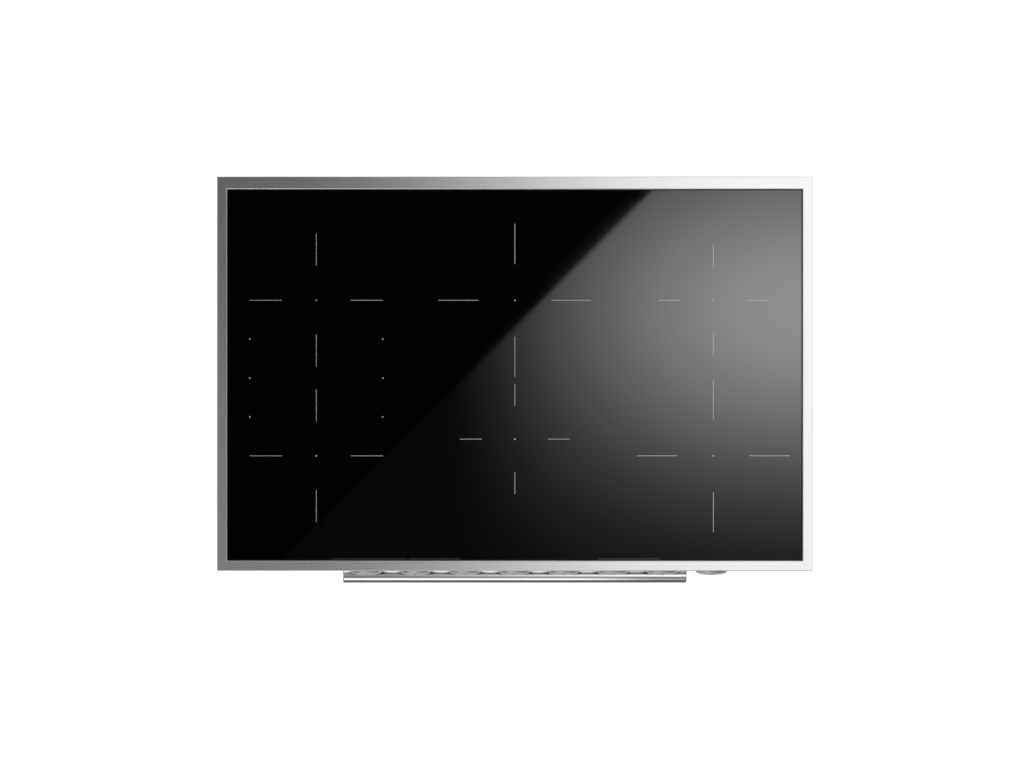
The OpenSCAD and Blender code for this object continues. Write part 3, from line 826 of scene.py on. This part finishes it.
@dataclass
class KnobSet:
    """Eight turned knobs with shafts, bezels, scales and pointers."""

    pointer_w: float = 1.7 * MM
    pointer_start: float = 7.0 * MM
    pointer_length: float = 10.0 * MM
    pointer_edge: float = 0.1 * MM
    groove_floor: float = 2.2 * MM
    filling: float = 0.25 * MM
    clearance: float = 0.1 * MM
    bezel: BrushedSteel = BrushedSteel("bezel_steel", tint=(0.3, 0.3, 0.305), roughness=0.3)

    def build(self) -> None:
        """Dresses the knobs and shafts and adds scales and pointers."""
        ink = Moulded("dial_ink", (0.02, 0.02, 0.022), roughness=0.4, contrast=0.2).make()
        inlay = Moulded("pointer_inlay", (0.025, 0.025, 0.028), roughness=0.35, contrast=0.2).make()
        shaft = Sheet("shaft_ground_steel", (0.55, 0.55, 0.56), Axis.Y, 0.25).make()
        face_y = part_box("control_panel")[0].y
        for index in range(1, KNOB_COUNT + 1):
            low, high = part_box(f"knob_{index}")
            centre = (low + high) / 2
            dress(f"knob_{index}", TurnedMetal(f"knob_metal_{index}", tuple(centre)).make())
            dress(f"knob_shaft_{index}", shaft)
            DialPlate(face_y, centre.z).build(index, centre.x, ink)
            self.pointer(index, low.y, centre, inlay)
        dress("knob_bezels", self.bezel.make())
        dress("encoder_bodies", Moulded("encoder_black", (0.02, 0.022, 0.025), roughness=0.45).make())

    def pointer(self, index: int, crown: float, centre: Vector, inlay: bpy.types.Material) -> None:
        """Fills a knob's pointer groove.

        Args:
            index: the knob's number.
            crown: y of the knob's crown.
            centre: middle of the knob's box.
            inlay: finish of the filling.
        """
        shape = bmesh.new()
        floor_y, foot = crown + self.groove_floor, centre.z + self.pointer_start
        low = (centre.x - self.pointer_w / 2, floor_y - self.filling, foot)
        high = (centre.x + self.pointer_w / 2, floor_y - self.clearance, foot + self.pointer_length)
        add_box(shape, low, high, self.pointer_edge)
        keep(shape, f"knob_pointer_{index}", inlay, f"knob_body_{index}")


@dataclass
class CookingTop:
    """Steel frame, glass, sealant and print."""

    edge_print_depth: float = 4 * MM
    tape_w: float = 8 * MM
    tape_thick: float = 1.6 * MM
    tape_inset: float = 1.5 * MM
    tape_edge: float = 0.3 * MM
    panel_gap: float = 1 * MM

    def build(self) -> None:
        """Dresses the pieces of the top and adds the sealing tape."""
        low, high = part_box("top_frame")
        dress("top_frame", MitredSteel("frame_brushed", half_width=high.x, half_depth=high.y).make())
        dress("glass_top", BlackGlass("black_glass_ceramic").make())
        dress("glass_seal", Moulded("silicone_black", (0.012, 0.012, 0.012), roughness=0.55).make())
        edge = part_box("zone_print")[0].y + self.edge_print_depth
        dress("zone_print", FiredPrint("fired_print", edge).make())
        self.tape(low.z, high)

    def tape(self, under: float, high: Vector) -> None:
        """Adds the foam sealing tape under the frame's flange at the sides and back.

        Args:
            under: height of the flange's underside.
            high: highest corner of the frame.
        """
        foam = Moulded("foam_tape", (0.015, 0.015, 0.016), 0.9, texture=1400.0, relief=0.08 * MM).make()
        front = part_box("control_panel")[1].y + self.panel_gap
        outer, back = high.x - self.tape_inset, high.y - self.tape_inset
        inner, bottom = outer - self.tape_w, under - self.tape_thick
        shape = bmesh.new()
        for left, right in ((-outer, -inner), (inner, outer)):
            add_box(shape, (left, front, bottom), (right, back, under), self.tape_edge)
        add_box(shape, (-inner, back - self.tape_w, bottom), (inner, back, under), self.tape_edge)
        keep(shape, "sealing_tape", foam, CHASSIS)


@dataclass
class CoilBay:
    """Coils, carriers and tray under the glass."""

    carrier: Moulded = Moulded("carrier_moulding", (0.5, 0.46, 0.38), roughness=0.55)
    ferrite: Moulded = Moulded("ferrite_grey", (0.03, 0.03, 0.033), roughness=0.6, texture=1500.0)
    mica: Moulded = Moulded("mica_gold", (0.5, 0.42, 0.28), roughness=0.35, texture=160.0, contrast=0.3)
    sensor: Moulded = Moulded("sensor_white", (0.75, 0.74, 0.7), roughness=0.4)
    spring: Sheet = Sheet("spring_bright", (0.55, 0.56, 0.58), Axis.X, 0.22)
    tray: Sheet = Sheet("tray_mill_aluminium", (0.7, 0.71, 0.73), Axis.X, 0.36)

    def build(self) -> None:
        """Dresses the coil nodes."""
        carrier = self.carrier.make()
        for zone in ZONES:
            low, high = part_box("coil_" + zone)
            dress("coil_" + zone, LitzWire("litz_" + zone, tuple((low + high) / 2)).make())
            dress("coil_carrier_" + zone, carrier)
        dress("ferrite_bars", self.ferrite.make())
        dress("mica_discs", self.mica.make())
        dress("coil_sensors", self.sensor.make())
        dress("coil_springs", self.spring.make())
        dress("coil_tray", self.tray.make())


@dataclass
class BasePan:
    """Galvanised pan with its electronics, springs and gland."""

    def build(self) -> None:
        """Dresses the pan and what is in it."""
        board = CircuitBoard("solder_mask").make()
        fan = Moulded("fan_black", (0.014, 0.014, 0.015), roughness=0.42).make()
        screw = Sheet("zinc_screw", (0.6, 0.6, 0.6), Axis.Z, 0.28).make()
        finishes = {
            "bottom_pan": Galvanised("galvanised_pan").make(),
            "side_springs": Sheet("clamp_spring", (0.5, 0.51, 0.53), Axis.Z, 0.24).make(),
            "power_boards": board,
            "filter_board": board,
            "control_board": board,
            "heat_sinks": Sheet("sink_extruded", (0.66, 0.67, 0.69), Axis.Y, 0.34).make(),
            "board_capacitors": Moulded("capacitor_amber", (0.42, 0.2, 0.02), roughness=0.3, coat=0.3).make(),
            "board_posts": Moulded("post_nylon", (0.7, 0.69, 0.64), roughness=0.45).make(),
            "fan_frames": fan,
            "fan_impeller_left": fan,
            "fan_impeller_right": fan,
            "filter_chokes": Sheet("choke_enamelled", (0.55, 0.2, 0.07), Axis.Z, 0.3).make(),
            "terminal_block": Moulded("terminal_ivory", (0.7, 0.66, 0.54), roughness=0.4).make(),
            "cable_gland": Moulded("gland_black", (0.018, 0.018, 0.02), roughness=0.48).make(),
            "case_screws": screw,
            "rail_screws": screw,
        }
        for node, material in finishes.items():
            dress(node, material)


@dataclass
class FrontPanel:
    """Control panel with its display window and the hand rail."""

    panel: BrushedSteel = BrushedSteel("panel_brushed", tint=(0.6, 0.6, 0.605), roughness=0.2)
    lens: Moulded = Moulded("smoked_lens", (0.004, 0.004, 0.005), roughness=0.08, relief=0.0)
    rail: PolishedSteel = PolishedSteel("rail_polished")

    def build(self) -> None:
        """Dresses the panel and the rail."""
        dress("control_panel", self.panel.make())
        dress("display_window", self.lens.make())
        rail = self.rail.make()
        for node in RAIL:
            dress(node, rail)


# ---------------------------------------------------------------- studio


@dataclass(frozen=True)
class SoftLight:
    """A rectangular soft light that lights only some nodes, or all but them."""

    name: str
    place: Triple
    size: Pair
    radiance: float
    nodes: tuple[str, ...] = GLASS
    include: bool = False
    aim: Triple | None = None
    turn: float = 0.0

    def build(self, pattern: Pattern | None = None) -> None:
        """Adds the light, facing its aim, or straight down and turned about the vertical.

        Args:
            pattern: makes its brightness across it from its nodes and the sockets of X and Y.
        """
        data = bpy.data.lights.new(self.name, "AREA")
        data.shape = "RECTANGLE"
        data.size, data.size_y = self.size
        data.energy = self.radiance * math.pi * self.size[0] * self.size[1]
        lamp = bpy.data.objects.new(self.name, data)
        lamp.location = self.place
        lamp.rotation_euler = (0.0, 0.0, self.turn)
        if self.aim is not None:
            lamp.rotation_euler = (Vector(self.aim) - Vector(self.place)).to_track_quat("-Z", "Y").to_euler()
        lamp.visible_camera = False
        bpy.context.scene.collection.objects.link(lamp)
        self.limit(lamp)
        if pattern is not None:
            data.use_nodes = True
            nodes = Nodes(data.node_tree)
            emission = next(node for node in nodes.tree.nodes if node.type == "EMISSION")
            x, y, _ = nodes.split(nodes.add("NewGeometry").outputs["Position"])
            nodes.link(pattern(nodes, x, y), emission, "Strength")
        LOG.info("lit %s", self.name)

    def limit(self, lamp: bpy.types.Object) -> None:
        """Links the light to its nodes, or to all but them.

        Args:
            lamp: the light's object.
        """
        group = bpy.data.collections.new(self.name + "_links")
        for node in self.nodes:
            group.objects.link(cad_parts[node])
        lamp.light_linking.receiver_collection = group
        if not self.include:
            for entry in group.collection_objects:
                entry.light_linking.link_state = "EXCLUDE"


@dataclass(frozen=True)
class GlassCard:
    """Slanting light card that only the glass mirrors, with a sharp edge and a gentle falloff."""

    height: float = 1.0
    side: float = 1.5
    radiance: float = 6.35
    corner: Pair = (0.1, 0.1695)
    rise: Pair = (-0.11, 0.44)
    peak: float = 0.1
    spread: float = 0.154
    haze: float = 0.0075

    def build(self, top: float, eye: Vector) -> None:
        """Places the card so that the camera sees it where the sizes say, mirrored in the glass.

        Args:
            top: height of the frame's face.
            eye: place of the camera.
        """
        grow = 1.0 + self.height / (eye.z - top)
        across = Vector((1.0, -1.0)).normalized()
        middle = eye.xy + (Vector(self.corner) - eye.xy) * grow + across * self.side / 2
        left, right = (eye.x + (x - eye.x) * grow for x in self.rise)
        peak, spread = eye.y + (self.peak - eye.y) * grow, self.spread * grow

        def pattern(nodes: Nodes, x: Socket, y: Socket) -> Socket:
            """Brightness that rises to the right and falls off both ways along Y.

            Args:
                nodes: the light's nodes.
                x: socket of X.
                y: socket of Y.

            Returns:
                The brightness's socket.
            """
            off = nodes.math("DIVIDE", nodes.math("SUBTRACT", y, peak), spread)
            bell = nodes.math("EXPONENT", nodes.math("MULTIPLY", nodes.math("POWER", off, 2.0), -0.5))
            glow = nodes.math("MULTIPLY", nodes.ease(x, left, right), bell)
            return nodes.math("ADD", glow, self.haze)

        place, size = (middle.x, middle.y, top + self.height), (self.side, self.side)
        SoftLight("softbox_glass", place, size, self.radiance, include=True, turn=math.pi / 4).build(pattern)


@dataclass(frozen=True)
class TopLight:
    """Broad overhead light for all but the glass, dim on the left and bright on the right."""

    height: float = 0.8
    size: Pair = (2.4, 1.8)
    radiance: float = 1.5
    rise: Pair = (-0.36, 0.345)
    rise_power: float = 1.25
    depth: Pair = (-0.35, 0.35)
    low: Pair = (0.195, 0.1)
    gain: Pair = (0.775, 0.925)
    front: Pair = (-0.82, -0.42)
    front_level: float = 0.5

    def build(self, top: float) -> None:
        """Adds the light.

        Args:
            top: height of the frame's face.
        """

        def pattern(nodes: Nodes, x: Socket, y: Socket) -> Socket:
            """Brightness that rises smoothly from left to right and is dimmer far in front.

            Args:
                nodes: the light's nodes.
                x: socket of X.
                y: socket of Y.

            Returns:
                The brightness's socket.
            """
            rise = nodes.math("POWER", nodes.ease(x, *self.rise), self.rise_power)
            low = nodes.ease(y, *self.depth, *self.low)
            gain = nodes.ease(y, *self.depth, *self.gain)
            level = nodes.math("ADD", low, nodes.math("MULTIPLY", rise, gain))
            return nodes.math("MULTIPLY", level, nodes.ease(y, *self.front, self.front_level, 1.0))

        SoftLight("softbox_top", (0.0, 0.0, top + self.height), self.size, self.radiance).build(pattern)


@dataclass(frozen=True)
class Strip:
    """Long soft light in front, bright on the left, that covers a range of angles seen from the rail.

    The angles are in degrees from straight up, and faded is the share of the brightness on the right.
    """

    name: str
    angles: Pair
    radiance: float
    faded: float
    nodes: tuple[str, ...] = GLASS
    include: bool = False
    distance: float = 1.7
    length: float = 3.2
    fade: Pair = (0.1, 0.26)

    def build(self) -> None:
        """Adds the light, facing the rail."""
        low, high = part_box("rail_tube")
        middle = (low + high) / 2
        start, end = self.angles
        tilt, half = math.radians((start + end) / 2), math.radians((end - start) / 2)
        size = (self.length, 2 * self.distance * math.tan(half))
        forward, up = self.distance * math.sin(tilt), self.distance * math.cos(tilt)
        place, aim = (0.0, middle.y - forward, middle.z + up), (0.0, middle.y, middle.z)
        light = SoftLight(self.name, place, size, self.radiance, self.nodes, self.include, aim)
        light.build(lambda nodes, x, y: nodes.ease(x, *self.fade, 1.0, self.faded))


@dataclass
class Floor:
    """Pale floor that glows a little, more so far away, and is clear from below."""

    gap: float = 0.5 * MM
    half_side: float = 40.0
    shade_of_grey: float = 0.6
    glow: Pair = (0.84, 0.97)
    glow_distance: Pair = (0.8, 2.6)

    def finish(self) -> bpy.types.Material:
        """Builds the floor's material.

        Returns:
            The new material.
        """
        shade = Shade("floor_pale")
        grey, white = (self.shade_of_grey,) * 3, (1.0, 1.0, 1.0)
        shade.set(Base_Color=(*grey, 1.0), Roughness=0.9, Emission_Color=(*white, 1.0))
        distance = shade.add("VectorMath", operation="LENGTH")
        shade.link(shade.coords, distance, 0)
        shade.feed(Emission_Strength=shade.span(distance.outputs["Value"], *self.glow, *self.glow_distance))
        side, clear, mixer = shade.add("NewGeometry"), shade.add("BsdfTransparent"), shade.add("MixShader")
        shade.link(side.outputs["Backfacing"], mixer, 0)
        shade.link(shade.bsdf.outputs[0], mixer, 1)
        shade.link(clear.outputs[0], mixer, 2)
        shade.link(mixer.outputs[0], shade.out, 0)
        return shade.material

    def build(self) -> None:
        """Lays the floor just under the pan."""
        shape = bmesh.new()
        place = Matrix.Translation((0.0, 0.0, -self.gap))
        bmesh.ops.create_grid(shape, x_segments=1, y_segments=1, size=self.half_side, matrix=place)
        mesh = bpy.data.meshes.new("floor")
        shape.to_mesh(mesh)
        shape.free()
        ground = bpy.data.objects.new("floor", mesh)
        bpy.context.scene.collection.objects.link(ground)
        mesh.materials.append(self.finish())
        ground.visible_glossy = False
        ground.visible_shadow = False


@dataclass
class Room:
    """Surroundings: white behind the object, and a soft band of light round it, dimmed ahead."""

    levels: tuple[Pair, ...] = (
        (0.0, 0.2), (0.3, 0.15), (0.5, 0.11), (0.56, 0.24),
        (0.66, 0.26), (0.78, 0.15), (0.9, 0.04), (1.0, 0.012),
    )
    above: Pair = (0.0, 0.12)
    ahead: Pair = (0.2, 0.8)
    ahead_dim: float = 0.65

    def build(self) -> None:
        """Makes the world's nodes, with the band's brightness by height from straight down to straight up."""
        world = bpy.data.worlds.new("studio")
        bpy.context.scene.world = world
        world.use_nodes = True
        world.node_tree.nodes.clear()
        nodes = Nodes(world.node_tree)
        out, mixer, path = nodes.add("OutputWorld"), nodes.add("MixShader"), nodes.add("LightPath")
        white, room, ramp = nodes.add("Background"), nodes.add("Background"), nodes.add("ValToRGB")
        white.inputs["Color"].default_value = (1.0, 1.0, 1.0, 1.0)
        _, y, z = nodes.split(nodes.add("TexCoord").outputs["Generated"])
        nodes.link(nodes.span(z, 0.0, 1.0, -1.0, 1.0), ramp, 0)
        ramp.color_ramp.interpolation = "EASE"
        elements = ramp.color_ramp.elements
        while len(elements) < len(self.levels):
            elements.new(0.5)
        for element, (place, level) in zip(elements, self.levels):
            element.position = place
            element.color = (level, level, level, 1.0)
        above = nodes.ease(z, *self.above)
        ahead = nodes.ease(nodes.math("MULTIPLY", y, -1.0), *self.ahead, 0.0, self.ahead_dim)
        dimmed = nodes.math("SUBTRACT", 1.0, nodes.math("MULTIPLY", above, ahead))
        nodes.link(ramp.outputs[0], room, "Color")
        nodes.link(dimmed, room, "Strength")
        nodes.link(path.outputs["Is Camera Ray"], mixer, 0)
        nodes.link(room.outputs[0], mixer, 1)
        nodes.link(white.outputs[0], mixer, 2)
        nodes.link(mixer.outputs[0], out, 0)


@dataclass
class Studio:
    """The camera straight above the cooktop, and the floor, room and lights round it."""

    camera_height: float = 12.0
    view_width: float = 1.5473
    centre: Pair = (-0.0043, -0.0155)
    sensor: float = 36.0
    clip: float = 100.0
    lamp_z: float = 0.78

    def camera(self, top: float) -> Vector:
        """Places the camera.

        Args:
            top: height of the frame's face.

        Returns:
            The camera's place.
        """
        data = bpy.data.cameras.new("camera")
        data.sensor_width = self.sensor
        data.lens = self.sensor * self.camera_height / self.view_width
        data.clip_end = self.clip
        eye = bpy.data.objects.new("camera", data)
        eye.location = (*self.centre, top + self.camera_height)
        bpy.context.scene.collection.objects.link(eye)
        bpy.context.scene.camera = eye
        return eye.location.copy()

    def walls(self) -> tuple[SoftLight, ...]:
        """Large soft lights on all sides and below, which the glass doesn't mirror.

        Returns:
            The lights, not yet built.
        """
        z, others = self.lamp_z, GLASS + RAIL
        level, floor = (0.0, 0.0, z), (0.0, 0.0, 0.0)
        return (
            SoftLight("softbox_left", (-2.4, 0.0, z), (2.4, 2.8), 0.42, aim=level),
            SoftLight("softbox_right", (2.4, 0.0, z), (2.4, 2.8), 0.62, aim=level),
            SoftLight("softbox_back", (0.0, 2.4, z), (3.2, 2.8), 0.55, aim=level),
            SoftLight("softbox_front", (0.0, -2.6, 0.0), (3.2, 1.3), 0.6, others, aim=floor),
            SoftLight("softbox_below", (0.0, 0.0, -1.3), (6.5, 6.5), 0.62, others, aim=floor),
        )

    def strips(self) -> tuple[Strip, ...]:
        """Two strips for the rail and most pieces, and one that the panel passes on to the rail.

        Returns:
            The strips, not yet built.
        """
        return (
            Strip("strip_front", (50.0, 83.5), 1.24, 0.27),
            Strip("strip_fill", (31.0, 50.0), 0.26, 0.55),
            Strip("strip_panel", (36.0, 51.0), 2.0, 0.3, ("control_panel",), True),
        )

    def build(self) -> None:
        """Builds the whole studio."""
        scene = bpy.context.scene
        scene.view_settings.view_transform = "Standard"
        scene.view_settings.look = "None"
        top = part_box("top_frame")[1].z
        eye = self.camera(top)
        Floor().build()
        Room().build()
        GlassCard().build(top, eye)
        TopLight().build(top)
        for light in (*self.strips(), *self.walls()):
            light.build()


def main() -> None:
    """Builds the cooktop, then the studio."""
    logging.basicConfig(level=logging.INFO, format="%(name)s: %(message)s")
    for part in (CookingTop(), CoilBay(), BasePan(), FrontPanel(), KnobSet()):
        LOG.info("building %s", type(part).__name__)
        part.build()
    Studio().build()


if __name__ == "__main__":
    main()
